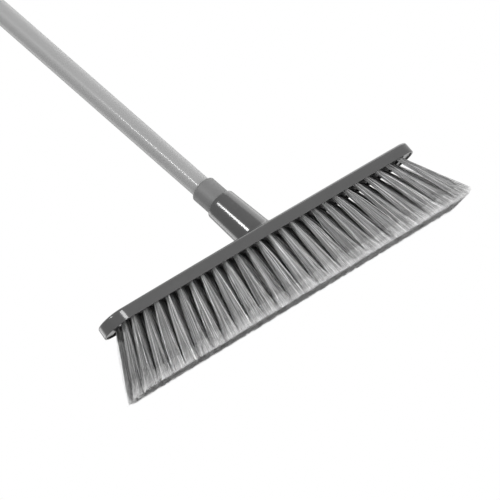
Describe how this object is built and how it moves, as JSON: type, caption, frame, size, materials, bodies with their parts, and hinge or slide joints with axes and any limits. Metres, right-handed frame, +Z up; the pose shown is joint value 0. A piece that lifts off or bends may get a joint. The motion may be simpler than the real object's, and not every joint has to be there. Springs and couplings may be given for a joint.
{
  "type": "push broom",
  "caption": "Push broom: long low head with staggered rows of splayed flagged bristles, leaning socket, screw-in tubular handle and swivelling hang cap.",
  "frame": {"origin": "on the floor, at the middle of the trimmed bristle tips under the head", "axes": "+X along the head, +Y the way the handle leans, +Z up from the bristle tips to the handle"},
  "size_m": [0.484, 0.3903, 1.3252],
  "materials": {
    "cover": "satin gloss mid-grey polypropylene",
    "plate": "matt black polypropylene",
    "bristles": "grey monofilament with paler flagged tips",
    "anchors": "bright flat wire",
    "tube": "pale grey coated steel tube",
    "tip": "matt dark grey polypropylene",
    "plug": "matt dark grey plastic",
    "cap": "matt dark grey plastic"
  },
  "bodies": {
    "head": {"head_cover": "cover", "tuft_plate": "plate", "bristle_row_1": "bristles", "bristle_row_2": "bristles", "bristle_row_3": "bristles", "bristle_row_4": "bristles", "bristle_row_5": "bristles", "anchor_row_1": "anchors", "anchor_row_2": "anchors", "anchor_row_3": "anchors", "anchor_row_4": "anchors", "anchor_row_5": "anchors"},
    "hanger": {"hang_cap": "cap"},
    "handle": {"handle_tube": "tube", "threaded_tip": "tip", "end_plug": "plug"}
  },
  "joints": [
    {"name": "thread_rise", "type": "slide", "parent": "head", "child": "hanger", "axis": [0, 0.279, 0.9603], "range_m": [0, 0.0254]},
    {"name": "thread_turn", "type": "hinge", "parent": "hanger", "child": "handle", "pos_m": [0, 0.01617, 0.1299], "axis": [0, 0.279, 0.9603], "range_deg": [0, 1800]}
  ],
  "couplings": [
    {"joint": "thread_turn", "follows": "thread_rise", "rad_per_m": 1236.8}
  ]
}
